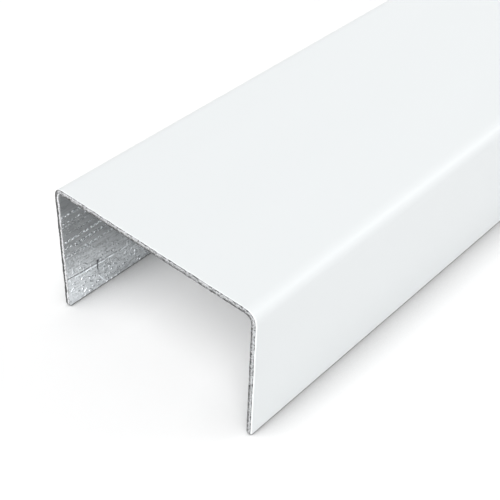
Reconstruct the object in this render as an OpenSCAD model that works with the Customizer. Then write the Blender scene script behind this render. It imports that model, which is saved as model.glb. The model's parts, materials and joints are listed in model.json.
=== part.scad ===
// Folded sheet u-channel, standing on its flange tips with the open side down.
// +Z is up, the length lies along Y, and the origin is on the floor under the
// middle of the piece. All sizes are in millimetres.

/* [Section] */
// Width over the outsides of the two flanges
channel_w = 50; // [20:1:150]
// Height from the flange tips to the top of the web
channel_h = 30; // [12:1:100]
// Thickness of the sheet
sheet_t = 1.2; // [0.8:0.1:3]
// Radius on the inside of each bend
bend_r = 1.5; // [0.5:0.1:4]
// Radius of the two worn edges of each flange tip
tip_r = 0.3; // [0.1:0.05:0.35]

/* [Stock] */
// Length of the piece, sheared square at both ends
stock_l = 1000; // [100:10:3000]

/* [Hidden] */

// The bend shares one centre inside and outside, so the wall keeps its thickness
bend_outer_r = bend_r + sheet_t;
web_flat_w = channel_w - 2 * bend_outer_r;
flange_flat_h = channel_h - bend_outer_r;

// Flat of the web, between the two bends
module web_section() {
    translate([-web_flat_w / 2, channel_h - sheet_t])
        square([web_flat_w, sheet_t]);
}

// Quarter ring of the bend on the +X side
module bend_section() {
    translate([web_flat_w / 2, flange_flat_h])
        intersection() {
            difference() {
                circle(r = bend_outer_r, $fn = 96);
                circle(r = bend_r, $fn = 96);
            }
            square(bend_outer_r);
        }
}

// Flat of the flange on the +X side, with both edges of its tip rounded
module flange_section() {
    translate([channel_w / 2 - sheet_t, tip_r])
        square([sheet_t, flange_flat_h - tip_r]);
    translate([channel_w / 2 - sheet_t + tip_r, 0])
        square([sheet_t - 2 * tip_r, tip_r]);
    for (edge_x = [channel_w / 2 - sheet_t + tip_r, channel_w / 2 - tip_r])
        translate([edge_x, tip_r])
            circle(r = tip_r, $fn = 48);
}

// Whole cross-section: the web and a bend and flange on either side of it
module channel_section() {
    web_section();
    for (side = [0, 1])
        mirror([side, 0]) {
            bend_section();
            flange_section();
        }
}

// One folded length of sheet, painted outside and bare aluminium inside
module channel() {
    color("whitesmoke")
        translate([0, stock_l / 2, 0])
            rotate([90, 0, 0])
                linear_extrude(height = stock_l)
                    channel_section();
}

channel();
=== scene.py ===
"""A length of folded aluminium channel, coated white outside and bare inside, on a pale floor.

The sheet is one closed surface: its section is carried along the length, with worn flange tips and
roughly sheared ends. Lengths are in metres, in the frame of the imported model.
"""

import json
import math

import bpy
import numpy as np
from mathutils import Matrix, Vector


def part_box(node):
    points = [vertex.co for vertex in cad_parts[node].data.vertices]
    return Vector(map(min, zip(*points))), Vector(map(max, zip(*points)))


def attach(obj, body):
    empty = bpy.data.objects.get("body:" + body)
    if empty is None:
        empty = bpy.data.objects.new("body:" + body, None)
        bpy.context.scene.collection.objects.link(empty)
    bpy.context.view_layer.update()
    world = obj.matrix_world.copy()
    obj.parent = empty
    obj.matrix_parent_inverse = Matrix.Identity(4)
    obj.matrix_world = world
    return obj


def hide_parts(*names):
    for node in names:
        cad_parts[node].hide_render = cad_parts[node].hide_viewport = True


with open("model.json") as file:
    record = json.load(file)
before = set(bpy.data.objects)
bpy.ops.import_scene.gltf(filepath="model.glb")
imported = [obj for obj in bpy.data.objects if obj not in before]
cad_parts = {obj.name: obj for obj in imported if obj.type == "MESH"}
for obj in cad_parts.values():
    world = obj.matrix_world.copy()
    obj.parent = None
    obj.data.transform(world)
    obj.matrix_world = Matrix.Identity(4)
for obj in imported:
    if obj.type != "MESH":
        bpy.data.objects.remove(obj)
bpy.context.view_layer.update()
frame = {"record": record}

MM = 0.001

# Sizes of the channel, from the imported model
low, high = (np.array(corner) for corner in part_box("channel"))
WIDTH, LENGTH, HEIGHT = high - low
face_height = {mount["name"]: mount["pos_m"][2] for mount in frame["record"]["mounts"]}
SHEET = face_height["web_top"] - face_height["web_underside"]

# The two bends: inside radius, how gently they start and end, and how much longer than a plain
# arc each is; the left one came out tighter
BEND_RADIUS = 1.5 * MM
BEND_EASE = 0.7
LEFT_SPREAD, RIGHT_SPREAD = 1.05, 1.28

# Edges of the sheet: worn flange tips, coat drawn over most on the right flange, torn ends
TIP_RADIUS = 0.3 * MM
ROLLOVER_LONG = 0.25 * MM
FLANGE_ROLLOVER = 0.20 * MM
WEB_ROLLOVER = 0.06 * MM
LEAST_ROLLOVER = 0.03 * MM
TIP_CORNER = 0.35 * MM
TEAR_DEPTH = 0.16 * MM
TEAR_FADE = 0.35 * MM

# Floor colour as light bounces off it, level of the sky as light, reach of the contact shadow,
# and half the floor's side in metres
FLOOR_LIGHT = 0.84
SKY_LIGHT = 0.25
CONTACT_REACH = 14 * MM
FLOOR_HALF = 60.0

# Bands of the channel's own map, from bottom to top: two faces, two slit tips, two cut ends
MAP_BANDS = {"coat": (0.01, 0.25), "bare": (0.27, 0.79), "right tip": (0.80, 0.815),
             "left tip": (0.825, 0.84), "near end": (0.86, 0.92), "far end": (0.93, 0.99)}

# Relief of the bare face: its rolling lines, the dashes that stand up from it, the nibs as a share
# of a dash, and how far a lip's face leans towards the near end
LINE_HEIGHT = 0.01 * MM
DASH_HEIGHT = 0.38 * MM
NIB_SHARE = 0.6
LIP_LEAN = 0.5

# Marks inside the left flange, each as its place and half width across its line, then its middle
# and half length along it; lengths run from the near end, and lines have their height there
NICK_TAIL = (7.95 * MM, 0.28 * MM, 6.1 * MM, 2.2 * MM)
NICK_HEAD = (8.1 * MM, 0.45 * MM, 7.3 * MM, 0.5 * MM)
SCORE = (7.4 * MM, 0.12 * MM, 1.5 * MM, 17 * MM)
SCORE_LIP = (6.95 * MM, 0.30 * MM, 8 * MM, 16 * MM)
SCRATCH = (15.9 * MM, 0.42 * MM, 8.9 * MM, 1.5 * MM)

# Fall of the score and the scratch for each unit of length, and where the score becomes level
SCORE_FALL, SCRATCH_FALL = 0.08, 1.56
SCORE_LEVEL_FROM = 8 * MM

# How finely the sheet is divided: lines round a tip, up a flange, round a bend and over half the
# web; rings over the turned-in edge and beyond it; points through the thickness
TIP_LINES, FLANGE_LINES, BEND_LINES, HALF_WEB_LINES = 6, 96, 26, 86
EDGE_RINGS, INNER_RINGS = 14, 18
THROUGH_POINTS = 9

# How far into the noise each end's cut pattern is taken, one to each side of zero, in sheet
# thicknesses, so that the two ends differ
CUT_OFFSET = 30.0

# Material slots of the sheet, in order
COAT, BARE, SHEARED, SLIT = range(4)


# ---------------------------------------------------------------- numbers for surfaces


def lattice_noise(seed, across, down):
    """Smooth noise from 0 to 1 at lattice coordinates.

    Each whole-number corner holds a seeded random value, and a point takes the four round it,
    mixed by 3t^2 - 2t^3 of its distance along each side of the cell.
    """
    across, down = np.broadcast_arrays(across, down)
    column, row = np.floor(across).astype(int), np.floor(down).astype(int)
    column0, row0 = column.min(), row.min()
    shape = (column.max() - column0 + 2, row.max() - row0 + 2)
    value = np.random.default_rng(seed).random(shape)
    right, below = across - column, down - row
    right, below = right * right * (3 - 2 * right), below * below * (3 - 2 * below)
    column, row = column - column0, row - row0
    top = value[column, row] * (1 - right) + value[column + 1, row] * right
    bottom = value[column, row + 1] * (1 - right) + value[column + 1, row + 1] * right
    return top * (1 - below) + bottom * below


def rounded(depth, long, deep):
    """How far a rounded edge lies in from its face, at a depth from its end.

    A quarter ellipse, long by deep: deep times one less the root of 1 - (1 - depth / long)^2,
    and nothing past its length.
    """
    short = np.clip(1 - depth / long, 0, 1)
    return deep * (1 - np.sqrt(1 - short**2))


# ---------------------------------------------------------------- the folded sheet


def bend_turn(fraction):
    """Share of a quarter turn made at a fraction of a bend's length.

    The fraction less a sine ripple of it, so the sheet starts and ends its bend gently.
    """
    fraction = np.clip(fraction, 0, 1)
    return fraction - BEND_EASE * np.sin(2 * np.pi * fraction) / (2 * np.pi)


def running_sum(values, places):
    """Area under values from the first place to each one, by the trapezium rule."""
    steps = np.diff(places) * (values[1:] + values[:-1]) / 2
    return np.concatenate([[0.0], np.cumsum(steps)])


PLAIN_BEND = math.pi / 2 * (BEND_RADIUS + SHEET / 2)
LEFT_BEND, RIGHT_BEND = LEFT_SPREAD * PLAIN_BEND, RIGHT_SPREAD * PLAIN_BEND
quarter = np.linspace(0, 1, 2001)
REACH_SHARE = running_sum(np.sin(np.pi / 2 * bend_turn(quarter)), quarter)[-1]
LEFT_FLAT = HEIGHT - SHEET / 2 - REACH_SHARE * LEFT_BEND
RIGHT_FLAT = HEIGHT - SHEET / 2 - REACH_SHARE * RIGHT_BEND
WEB_FLAT = WIDTH - SHEET - REACH_SHARE * (LEFT_BEND + RIGHT_BEND)
GIRTH = LEFT_FLAT + LEFT_BEND + WEB_FLAT + RIGHT_BEND + RIGHT_FLAT


def middle_line(reach):
    """Middle of the sheet at a distance from its left tip: place (x, z) and outward normal.

    The heading starts straight up, turns level over the first bend and straight down over the
    second, and the place is the running sum of its cosine and sine. The normal lies a quarter
    turn to the left of the heading.
    """
    fine = np.linspace(0, GIRTH, 20001)
    first = bend_turn((fine - LEFT_FLAT) / LEFT_BEND)
    second = bend_turn((fine - LEFT_FLAT - LEFT_BEND - WEB_FLAT) / RIGHT_BEND)
    heading = np.pi / 2 * (1 - first - second)
    x = low[0] + SHEET / 2 + running_sum(np.cos(heading), fine)
    z = low[2] + running_sum(np.sin(heading), fine)
    at = np.interp(reach, fine, heading)
    return np.interp(reach, fine, x), np.interp(reach, fine, z), -np.sin(at), np.cos(at)


def half_stations(flat, bend):
    """Distances from one tip for lengthwise lines, as far as mid-web: close at tip and bend."""
    tip = TIP_RADIUS * (1 - np.cos(np.linspace(0, np.pi / 2, TIP_LINES)))
    flange = np.linspace(TIP_RADIUS, flat, FLANGE_LINES)
    turn = flat + bend * np.linspace(0, 1, BEND_LINES)
    half_web = flat + bend + WEB_FLAT / 2 * np.linspace(0, 1, HALF_WEB_LINES)
    return np.unique(np.concatenate([tip, flange, turn, half_web]).round(9))


def stations():
    """Distances round the whole sheet from its left tip for its lengthwise lines."""
    right_half = half_stations(RIGHT_FLAT, RIGHT_BEND)
    return np.concatenate([half_stations(LEFT_FLAT, LEFT_BEND), GIRTH - right_half[-2::-1]])


def ring_depths():
    """Depths of the rings in from one end, to the middle: close at the sheared edge, then wider."""
    edge = ROLLOVER_LONG * (1 - np.cos(np.linspace(0, np.pi / 2, EDGE_RINGS)))
    inner = np.geomspace(ROLLOVER_LONG * 1.3, LENGTH / 2, INNER_RINGS)
    return np.concatenate([edge, inner])


def shear_and_light_side(normal_x, normal_z):
    """How far the shear came in from the coated face, 1 for wholly and 0 for from the bare face.

    It came in from above and from the right: half of one plus the tanh of four times the
    normal's part towards there. The same share places painted light on the cut, which is painted
    brightest on its side turned up and to the right, towards the light.
    """
    return 0.5 + 0.5 * np.tanh(4 * (normal_x + normal_z) / math.sqrt(2))


def sheet_points(reach, share, depth):
    """Points of one half of the sheet: reach along its girth, share across it, depth from the end.

    The share runs from 1 on the coated face to -1 on the bare one. The sheet's half thickness
    closes at the tips by a quarter circle, and the tips' corners at the end do so too. Both faces
    turn in at the end by a quarter ellipse. The coated one does so deepest on the right flange, and
    elsewhere its depth wavers more with two noises along the girth. The end is torn back by noise
    that dies away with depth.
    """
    from_tip = np.minimum(reach, GIRTH - reach)
    near_tip = np.clip(1 - from_tip / (2.5 * TIP_CORNER), 0, 1)
    pull = rounded(depth, TIP_CORNER, TIP_CORNER) * near_tip
    x, z, normal_x, normal_z = middle_line(reach + np.where(reach < GIRTH / 2, pull, -pull))
    half = SHEET / 2 - rounded(from_tip, TIP_RADIUS, TIP_RADIUS)
    wander = 0.6 * lattice_noise(3, reach / (0.9 * MM), 0.5)
    wander = wander + 0.4 * lattice_noise(4, reach / (0.3 * MM), 0.5)
    right = np.clip(normal_x, 0, 1) ** 2
    drawn = LEAST_ROLLOVER + (WEB_ROLLOVER - LEAST_ROLLOVER) * np.clip(normal_z, 0, 1)
    drawn = drawn + (FLANGE_ROLLOVER - LEAST_ROLLOVER) * right
    drawn = drawn * (1 + (1.6 - 1.2 * right) * (wander - 0.5))
    outer = half - rounded(depth, ROLLOVER_LONG, drawn)
    inner = half - rounded(depth, ROLLOVER_LONG / 2, LEAST_ROLLOVER)
    side = (1 + share) / 2 * (outer + inner) - inner
    coarse = lattice_noise(5, reach / (1.3 * MM), share * 0.8)
    fine = lattice_noise(6, reach / (0.35 * MM), share * 2.2)
    tear = TEAR_DEPTH * (0.55 * coarse + 0.45 * fine) * np.exp(-depth / TEAR_FADE)
    return x + normal_x * side, depth + tear, z + normal_z * side


def grid_faces(index):
    """Quads between the neighbours of a table of vertex numbers, one for each of its cells."""
    return np.stack([index[:-1, :-1], index[1:, :-1], index[1:, 1:], index[:-1, 1:]], -1).reshape(-1, 4)


def map_corners(across, start, end):
    """Places on the piece's own map for the corners of a table of faces, in grid_faces order.

    The first number runs over the table's rows and the second goes from start to end of each
    of its columns.
    """
    left, right = across[:-1, None], across[1:, None]
    level = 0 * start[None, :]
    u = np.stack([left + level, right + level, right + level, left + level], -1)
    v = np.stack([start, start, end, end], -1)[None] + 0 * left[..., None]
    return np.stack([u, v], -1).reshape(-1, 4, 2)


def map_along(depth_share):
    """Place along the map for a share of the length.

    The first and the last tenth get two and a half times the middle's room for the same length.
    """
    return np.interp(depth_share, [0, 0.1, 0.9, 1], [0.005, 0.195, 0.805, 0.995])


def map_band(name, share):
    """Place across the map for a share from 0 to 1 of one of its bands."""
    bottom, top = MAP_BANDS[name]
    return bottom + (top - bottom) * share


def new_piece(name, points, faces, slots, places):
    """A smooth-shaded piece from blocks of points, faces, material slots and map corners."""
    faces, slots = np.concatenate(faces), np.concatenate(slots)
    mesh = bpy.data.meshes.new(name)
    mesh.from_pydata(np.concatenate(points).tolist(), [], faces.tolist())
    mesh.polygons.foreach_set("material_index", slots.astype(np.int32))
    mesh.polygons.foreach_set("use_smooth", np.ones(len(faces), bool))
    map_layer = mesh.uv_layers.new(name="OFBake")
    map_layer.uv.foreach_set("vector", np.concatenate(places).ravel())
    mesh.validate()
    mesh.update()
    piece = bpy.data.objects.new(name, mesh)
    bpy.context.scene.collection.objects.link(piece)
    return piece


def folded_sheet(name):
    """The whole channel as one closed mesh.

    Each ring goes round the section: along the coated face, across the right tip, back along the
    bare face and across the left tip. The rings of both halves meet at mid-length, and each end is
    closed by a table of points from the coated face to the bare one.
    """
    along = stations()
    across = np.linspace(1, -1, THROUGH_POINTS)
    count, rows = len(along), len(across)
    ones = np.ones(count)
    loop_reach = np.concatenate([along, GIRTH + 0 * across[1:-1], along[::-1], 0 * across[1:-1]])
    loop_share = np.concatenate([ones, across[1:-1], -ones, across[-2:0:-1]])
    loop = len(loop_reach)

    depths = ring_depths()
    x, depth, z = sheet_points(loop_reach[None, :], loop_share[None, :], depths[:, None])
    near = np.stack([x, low[1] + depth, z], -1)
    far = np.stack([x, high[1] - depth, z], -1)[-2::-1]
    rings = np.concatenate([near, far])
    ring_count = len(rings)
    points = [rings.reshape(-1, 3)]
    number = np.arange(ring_count * loop).reshape(ring_count, loop)

    wrapped = np.concatenate([number, number[:, :1]], 1)
    faces = [grid_faces(wrapped)[:, ::-1]]
    slit = np.full(rows - 1, SLIT)
    # the worn rounding of each tip also takes the dark slit colour, partly as painted shade along its
    # contact with the floor
    worn = np.minimum(along[:-1], GIRTH - along[1:]) < 0.99 * TIP_RADIUS
    round_slots = [np.where(worn, SLIT, COAT), slit, np.where(worn, SLIT, BARE)[::-1], slit]
    slots = [np.tile(np.concatenate(round_slots), ring_count - 1)]
    girth, depth_across = along / GIRTH, (1 - across) / 2
    strips = [map_band("coat", girth), map_band("right tip", depth_across),
              map_band("bare", girth[::-1]), map_band("left tip", depth_across)]
    start, end = (np.concatenate([strip[part] for strip in strips])
                  for part in (slice(None, -1), slice(1, None)))
    ring_place = np.concatenate([depths, LENGTH - depths[-2::-1]]) / LENGTH
    places = [map_corners(map_along(ring_place), start, end)[:, ::-1]]
    total = ring_count * loop + 2 * (count - 2) * (rows - 2)
    entry, cut_place = np.zeros(total), np.zeros((total, 3))

    ends = ((0, low[1], 1, "near end"), (ring_count - 1, high[1], -1, "far end"))
    for first, place, turn, band in ends:
        cap = np.zeros((count, rows), int)
        cap[:, 0] = number[first, :count]
        cap[-1, 1:-1] = number[first, count : count + rows - 2]
        cap[:, -1] = number[first, count + rows - 2 : 2 * count + rows - 2][::-1]
        cap[0, 1:-1] = number[first, 2 * count + rows - 2 :][::-1]
        start = sum(len(block) for block in points)
        cap[1:-1, 1:-1] = start + np.arange((count - 2) * (rows - 2)).reshape(count - 2, rows - 2)
        x, depth, z = sheet_points(along[1:-1, None], across[None, 1:-1], 0.0)
        points.append(np.stack([x, place + turn * depth, z], -1).reshape(-1, 3))
        faces.append(grid_faces(cap)[:, ::-turn])
        slots.append(np.full((count - 1) * (rows - 1), SHEARED))
        level = map_band(band, depth_across)
        places.append(map_corners(0.005 + 0.99 * girth, level[:-1], level[1:])[:, ::-turn])

        x, z, normal_x, normal_z = middle_line(along)
        cut_place[cap, 0] = along[:, None] / SHEET
        cut_place[cap, 1] = depth_across[None, :]
        cut_place[cap, 2] = CUT_OFFSET * turn
        # the same share places painted light on the cut: its side turned up and to the right is painted
        # brightest
        entry[cap] = shear_and_light_side(normal_x, normal_z)[:, None]

    piece = new_piece(name, points, faces, slots, places)
    cut_layer = piece.data.attributes.new("cut place", "FLOAT_VECTOR", "POINT")
    cut_layer.data.foreach_set("vector", cut_place.ravel())
    shear_and_light_layer = piece.data.attributes.new("entry", "FLOAT", "POINT")
    shear_and_light_layer.data.foreach_set("value", entry)
    return piece


# ---------------------------------------------------------------- materials


class Nodes:
    """A material's node tree, with short ways to add and join nodes."""

    def __init__(self, name, kind="materials"):
        self.material = getattr(bpy.data, kind).new(name)
        self.material.use_nodes = True
        self.tree = self.material.node_tree
        self.shader = self.tree.nodes.get("Principled BSDF")

    def add(self, kind, **values):
        """A new node: a capitalised keyword feeds the socket it names, any other sets a property."""
        node = self.tree.nodes.new("ShaderNode" + kind)
        for key, value in values.items():
            if key[0].isupper():
                self.put(node, key.replace("_", " "), value)
            else:
                setattr(node, key, value)
        return node

    def put(self, node, socket, value):
        """Joins or sets one input, found by its name or its number."""
        if isinstance(value, bpy.types.NodeSocket):
            self.tree.links.new(value, node.inputs[socket])
        else:
            node.inputs[socket].default_value = value

    def math(self, operation, first, second=0.5, third=0.5, clamp=False):
        node = self.add("Math", operation=operation, use_clamp=clamp)
        for slot, value in enumerate((first, second, third)):
            self.put(node, slot, value)
        return node.outputs[0]

    def noise(self, vector, scale, detail=2.0, roughness=0.5):
        node = self.add("TexNoise", Vector=vector, Scale=scale, Detail=detail, Roughness=roughness)
        return node.outputs["Fac"]

    def steps(self, value, *stops):
        """A ramp through (place, level) stops; a level is a grey or a colour."""
        node = self.add("ValToRGB", Fac=value)
        points = node.color_ramp.elements
        while len(points) < len(stops):
            points.new(0.5)
        for point, (place, level) in zip(points, stops):
            point.position = place
            point.color = (*level, 1) if isinstance(level, tuple) else (level, level, level, 1)
        return node.outputs["Color"]

    def mix(self, share, first, second, blend="MIX"):
        node = self.add("Mix", data_type="RGBA", blend_type=blend)
        for socket, value in ((0, share), (6, first), (7, second)):
            if isinstance(value, tuple):
                value = (*value, 1)
            self.put(node, socket, value)
        return node.outputs[2]

    def near(self, value, centre, reach):
        """1 at a centre, falling evenly to 0 at a reach on either side of it."""
        off = self.math("ABSOLUTE", self.math("SUBTRACT", value, centre))
        return self.math("SUBTRACT", 1.0, self.math("DIVIDE", off, reach), clamp=True)

    def stretched(self, along):
        """Object coordinates scaled so that a pattern is drawn out along the length by a factor."""
        place = self.add("TexCoord").outputs["Object"]
        return self.add("Mapping", Vector=place, Scale=(1, 1 / along, 1)).outputs["Vector"]

    def seen_rays(self):
        """1 for rays that show a thing to the eye, straight, in a gloss or through glass; else 0."""
        path = self.add("LightPath").outputs
        seen = self.math("MAXIMUM", path["Is Camera Ray"], path["Is Transmission Ray"])
        return self.math("MAXIMUM", seen, path["Is Glossy Ray"])

    def leaning(self, towards):
        """The surface's own normal with a vector added, brought back to unit length."""
        node = self.add("VectorMath", operation="ADD")
        self.put(node, 0, self.add("NewGeometry").outputs["Normal"])
        self.put(node, 1, towards)
        unit = self.add("VectorMath", operation="NORMALIZE")
        self.put(unit, 0, node.outputs["Vector"])
        return unit.outputs["Vector"]

    def bump(self, height, distance, normal=None):
        """Relief of a height times a distance, on the surface's own normal or on a given one."""
        node = self.add("Bump", Height=height, Distance=distance)
        if normal is not None:
            self.put(node, "Normal", normal)
        self.put(self.shader, "Normal", node.outputs["Normal"])


def white_coat():
    """Smooth satin stove enamel, faintly cool, with barely seen drifts of tone along the length."""
    n = Nodes("white_coat")
    drift = n.noise(n.stretched(6), 45, 2)
    tone = n.mix(drift, (0.800, 0.826, 0.834), (0.822, 0.847, 0.855))
    n.put(n.shader, "Base Color", tone)
    n.shader.inputs["Roughness"].default_value = 0.3
    n.shader.inputs["IOR"].default_value = 1.5
    return n.material


def bare_sheet():
    """Mill-finish aluminium, smooth by the web and mottled towards the tips, with painted shade.

    Its colour is painted darker by the web and brighter towards the tips, for the shade under the
    web. Fine rolling lines run along the length, with rows of bright dashes half-way down and bright
    nibs towards the tips. Inside the left flange's near end are a nick, a score with a bright lip,
    and a slanted scratch. Painted shade also leaves both ends a little brighter than the depth of
    the channel.
    """
    n = Nodes("bare_sheet")
    place = n.add("SeparateXYZ", Vector=n.add("TexCoord").outputs["Object"]).outputs
    # painted shade: the tone below darkens with height towards the web and with distance from the
    # nearer end
    height = n.math("DIVIDE", place["Z"], HEIGHT)
    clouds = n.noise(n.stretched(2.5), 160, 3, 0.6)
    level = n.math("MULTIPLY_ADD", n.math("SUBTRACT", clouds, 0.5), 0.45, height)
    depth = n.math("SUBTRACT", LENGTH / 2, n.math("ABSOLUTE", place["Y"]))
    level = n.math("MULTIPLY_ADD", n.steps(depth, (3 * MM, 0.0), (14 * MM, 1.0)), 0.12, level)
    tone = n.steps(level, (0.05, 1.0), (0.24, 0.92), (0.40, 0.62), (0.58, 0.46), (0.85, 0.42))
    lines = n.noise(n.stretched(36), 2600, 3, 0.65)
    base = n.mix(0.35, tone, n.steps(lines, (0.3, 0.35), (0.65, 1.0)), "MULTIPLY")
    mottle = n.noise(n.stretched(3), 2200, 3, 0.7)
    mottle = n.steps(mottle, (0.38, 0.64), (0.48, 0.92), (0.58, 1.0))
    patchy = n.steps(level, (0.06, 0.25), (0.20, 0.85), (0.45, 0.85), (0.75, 0.25))
    base = n.mix(patchy, base, n.mix(1.0, base, mottle, "MULTIPLY"))

    dashed, nibbed = dashes(n, height), nibs(n, level)
    raised = n.math("MAXIMUM", dashed, nibbed)
    scored, lipped = marks(n, place)
    base = n.mix(n.math("MAXIMUM", raised, lipped), base, (0.97, 0.98, 0.99))
    base = n.mix(scored, base, (0.06, 0.065, 0.07))
    base = n.mix(1.0, base, (0.95, 0.985, 1.01), "MULTIPLY")
    n.put(n.shader, "Base Color", base)
    n.shader.inputs["Metallic"].default_value = 1.0
    rough = n.steps(lines, (0.25, 0.36), (0.75, 0.50))
    n.put(n.shader, "Roughness", n.mix(raised, rough, (0.25, 0.25, 0.25)))
    relief = n.math("MAXIMUM", dashed, n.math("MULTIPLY", nibbed, NIB_SHARE))
    relief = n.math("MULTIPLY_ADD", relief, DASH_HEIGHT / LINE_HEIGHT, lines)
    towards = n.add("CombineXYZ", Y=n.math("MULTIPLY", lipped, -LIP_LEAN)).outputs["Vector"]
    n.bump(relief, LINE_HEIGHT, n.leaning(towards))
    return n.material


def dashes(n, height):
    """Rows of short raised dashes along the length, half-way down and a little under the web.

    The rows are the narrow bands where one of two long drawn-out noises runs high, and a third
    noise breaks them into dashes.
    """
    rows = n.steps(n.noise(n.stretched(60), 1300, 0), (0.62, 0.0), (0.69, 1.0))
    closer = n.steps(n.noise(n.stretched(60), 2300, 0), (0.55, 0.0), (0.65, 1.0))
    rows = n.math("MAXIMUM", rows, closer)
    short = n.steps(n.noise(n.stretched(1.6), 2600, 0), (0.44, 0.0), (0.56, 1.0))
    middle = n.steps(height, (0.36, 0.0), (0.46, 1.0), (0.76, 1.0), (0.84, 0.0))
    return n.math("MULTIPLY", n.math("MULTIPLY", rows, short), middle)


def nibs(n, level):
    """Small raised specks, thickest towards the tips."""
    specks = n.steps(n.noise(n.stretched(1.2), 1800, 0), (0.60, 0.0), (0.75, 1.0))
    return n.math("MULTIPLY", specks, n.steps(level, (0.16, 1.0), (0.48, 0.0)))


def ridge(n, across, along, mark):
    """1 at the middle of a mark, falling evenly to 0 at its half width and at its half length."""
    centre, half_width, middle, half_length = mark
    width = n.near(across, centre, half_width)
    return n.math("MULTIPLY", width, n.near(along, middle, half_length))


def marks(n, place):
    """How dark the nick and the score are, and how bright the score's lip and the scratch are.

    Each is a ridge over its line, on the left flange only. The nick's tail, the score and its lip
    waver with a noise. The score and its lip fall away from the near end and then run level.
    """
    along = n.math("SUBTRACT", place["Y"], float(low[1]))
    up = place["Z"]
    left = n.math("LESS_THAN", place["X"], 0.0)
    waver = n.math("SUBTRACT", n.noise(n.stretched(3), 500, 2), 0.5)
    waver = n.math("MULTIPLY", waver, 0.5 * MM)
    tail = ridge(n, n.math("SUBTRACT", along, waver), up, NICK_TAIL)
    nick = n.math("MAXIMUM", tail, ridge(n, along, up, NICK_HEAD))
    line = n.math("MULTIPLY_ADD", n.math("MINIMUM", along, SCORE_LEVEL_FROM), SCORE_FALL, up)
    line = n.math("ADD", line, waver)
    score = ridge(n, line, along, SCORE)
    patches = n.steps(n.noise(n.stretched(2.2), 1300, 1), (0.42, 0.3), (0.60, 1.0))
    lip = n.math("MULTIPLY", ridge(n, line, along, SCORE_LIP), patches)
    slanted = n.math("MULTIPLY_ADD", along, SCRATCH_FALL, up)
    scratch = ridge(n, slanted, along, SCRATCH)
    dark = n.steps(n.math("MAXIMUM", nick, score), (0.15, 0.0), (0.45, 0.9))
    bright = n.steps(n.math("MAXIMUM", lip, scratch), (0.2, 0.0), (0.5, 1.0))
    return n.math("MULTIPLY", dark, left), n.math("MULTIPLY", bright, left)


def sheared_edge():
    """The torn end of the sheet: a broken bright band between dark ragged lines along its faces.

    It reads its own map, in sheet thicknesses: along the girth, and across from the coated face
    to the bare one. Where the shear came in from the coated face the bright band lies nearer to
    it, with a dark tear by the bare face; where it came in from the bare face they change places.
    The shear is taken to come in from above and from the right, so the bright band is also painted
    light on the side of the cut turned up and to the right, and the dark tear painted shade on the
    side turned away. In patches of the first kind a second pattern takes over, dark by the coated
    face. Grain and pale specks break up the first kind most.
    """
    n = Nodes("sheared_edge")
    place = n.add("Attribute", attribute_name="cut place").outputs["Vector"]
    entry = n.add("Attribute", attribute_name="entry").outputs["Fac"]
    drawn_out = n.add("Mapping", Vector=place, Scale=(0.55, 1, 1)).outputs["Vector"]
    wander = n.math("SUBTRACT", n.noise(drawn_out, 2.6, 3, 0.7), 0.5)
    inward = n.add("SeparateXYZ", Vector=place).outputs["Y"]
    swing = n.math("MULTIPLY_ADD", entry, -0.4, 1.0)
    across = n.math("MULTIPLY_ADD", wander, swing, inward)
    moved_on = n.add("Mapping", Vector=place, Location=(7, 0, 0)).outputs["Vector"]
    patches = n.steps(n.noise(moved_on, 1.9, 2, 0.6), (0.50, 0.0), (0.58, 1.0))
    coat_side_lit_bands = n.steps(across, (0.02, 0.22), (0.12, 0.42), (0.24, 0.70), (0.50, 0.58),
                        (0.68, 0.20), (0.95, 0.08))
    in_patches = n.steps(across, (0.02, 0.05), (0.18, 0.08), (0.32, 0.50), (0.50, 0.60),
                         (0.76, 0.50), (0.97, 0.24))
    coat_side_lit_bands = n.mix(patches, coat_side_lit_bands, in_patches)
    bare_side_lit_bands = n.steps(across, (0.08, 0.07), (0.42, 0.13), (0.54, 0.80), (0.76, 0.90),
                        (0.86, 0.30), (1.0, 0.20))
    # painted light and shade: the bright band goes to the side of the cut turned up and to the right,
    # the dark tear to the side turned away
    base = n.mix(entry, bare_side_lit_bands, coat_side_lit_bands)
    grain = n.steps(n.noise(drawn_out, 4.4, 2, 0.7), (0.37, 0.08), (0.47, 1.0))
    share = n.math("MULTIPLY_ADD", entry, 0.75, 0.25)
    base = n.mix(share, base, n.mix(1.0, base, grain, "MULTIPLY"))
    specks = n.steps(n.noise(place, 4.5, 1), (0.57, 0.0), (0.66, 0.8))
    specks = n.math("MULTIPLY", specks, n.near(across, 0.42, 0.38))
    base = n.mix(n.math("MULTIPLY", specks, entry), base, (0.85, 0.85, 0.85))
    n.put(n.shader, "Base Color", n.mix(1.0, base, (0.97, 0.985, 1.0), "MULTIPLY"))
    n.shader.inputs["Metallic"].default_value = 0.85
    n.shader.inputs["Roughness"].default_value = 0.5
    n.bump(n.noise(place, 3.2, 3, 0.6), 0.04 * MM)
    return n.material


def slit_edge():
    """The long slit edge of the sheet at each flange tip, dull grey with lengthwise drag lines.

    Its dark grey is partly painted shade, for the contact line where the flange tips stand on the
    floor.
    """
    n = Nodes("slit_edge")
    lines = n.noise(n.stretched(20), 3000, 3, 0.6)
    # painted shade: this grey is darker than bare aluminium so that the tips draw a dark contact line
    # along the floor
    n.put(n.shader, "Base Color", n.mix(lines, (0.14, 0.145, 0.15), (0.30, 0.305, 0.31)))
    n.shader.inputs["Metallic"].default_value = 0.9
    n.put(n.shader, "Roughness", n.steps(lines, (0.3, 0.5), (0.7, 0.4)))
    n.bump(lines, 0.01 * MM)
    return n.material


# ---------------------------------------------------------------- stage, light and camera


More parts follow.
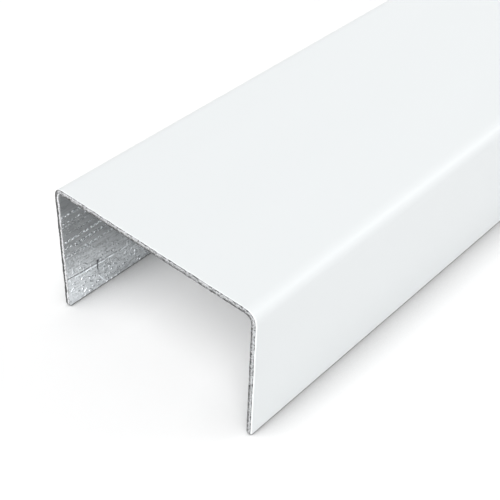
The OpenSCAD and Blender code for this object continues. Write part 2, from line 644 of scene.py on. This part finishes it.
def floor_material():
    """White floor: a pale surface as light, and full white to the eye but for its tight nooks.

    There the seen colour is darkened by how hemmed in the floor is: a painted contact shadow.
    """
    n = Nodes("studio_floor")
    n.tree.nodes.remove(n.shader)
    # painted shadow: the colour seen is darkened by ambient occlusion near the channel
    nook = n.add("AmbientOcclusion", Distance=CONTACT_REACH, samples=16).outputs["AO"]
    white = n.steps(nook, (0.48, 0.48), (0.60, 0.70), (0.78, 0.88), (1.0, 1.0))
    tone = n.mix(n.seen_rays(), (FLOOR_LIGHT,) * 3, white)
    surface = n.add("BsdfDiffuse", Color=tone)
    n.put(n.tree.nodes["Material Output"], "Surface", surface.outputs["BSDF"])
    return n.material


def studio_floor():
    """A square sheet of floor under the channel, far wider than any view."""
    mesh = bpy.data.meshes.new("studio_floor")
    square = ((-1, -1), (1, -1), (1, 1), (-1, 1))
    corners = [(FLOOR_HALF * x, FLOOR_HALF * y, low[2]) for x, y in square]
    mesh.from_pydata(corners, [], [(0, 1, 2, 3)])
    mesh.materials.append(floor_material())
    floor = bpy.data.objects.new("studio_floor", mesh)
    bpy.context.scene.collection.objects.link(floor)


def sky():
    """A plain white surround, seen as white and a little dimmer as light."""
    n = Nodes("studio_sky", "worlds")
    level = n.mix(n.seen_rays(), (SKY_LIGHT,) * 3, (1.0, 1.0, 1.0))
    n.put(n.tree.nodes["Background"], "Color", level)
    bpy.context.scene.world = n.material


def direction(azimuth, elevation):
    """Unit vector at an azimuth from +X towards +Y and an elevation, in degrees."""
    turn, rise = math.radians(azimuth), math.radians(elevation)
    return Vector((math.cos(turn) * math.cos(rise), math.sin(turn) * math.cos(rise), math.sin(rise)))


def lamp(name, azimuth, elevation, spread, level):
    """A far soft lamp: where it stands, its apparent width and its level, with angles in degrees.

    A level of 1 lights a white surface that faces it to full white.
    """
    data = bpy.data.lights.new(name, "SUN")
    data.angle = math.radians(spread)
    data.energy = level * math.pi
    light = bpy.data.objects.new(name, data)
    light.rotation_mode = "QUATERNION"
    light.rotation_quaternion = direction(azimuth, elevation).to_track_quat("Z", "Y")
    bpy.context.scene.collection.objects.link(light)


def camera():
    """A camera above the right-hand side of the near end, looking down along the channel."""
    aim = Vector((13.24 * MM, low[1] + 11.54 * MM, high[2]))
    back = direction(-50.03, 40.63)
    distance = 187.5 * MM
    roll = math.radians(2.46)
    data = bpy.data.cameras.new("camera")
    data.lens = 77.87
    data.clip_start, data.clip_end = 0.01, 200
    eye = bpy.data.objects.new("camera", data)
    turn = back.to_track_quat("Z", "Y").to_matrix() @ Matrix.Rotation(roll, 3, "Z")
    eye.matrix_world = Matrix.Translation(aim + back * distance) @ turn.to_4x4()
    bpy.context.scene.collection.objects.link(eye)
    bpy.context.scene.camera = eye


camera()
studio_floor()
sky()
lamp("high_lamp", 300, 60, 36, 0.362)
lamp("front_lamp", 270, 35, 36, 0.540)
lamp("left_lamp", 225, 35, 36, 0.145)
lamp("low_right_lamp", 315, 12, 30, 0.311)
lamp("low_back_lamp", 45, 12, 30, 0.028)
lamp("gloss_lamp", 55, 34, 24, 0.080)

channel = folded_sheet("folded_channel")
for material in (white_coat, bare_sheet, sheared_edge, slit_edge):
    channel.data.materials.append(material())
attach(channel, "root")
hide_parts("channel")

bpy.context.scene.view_settings.view_transform = "Standard"
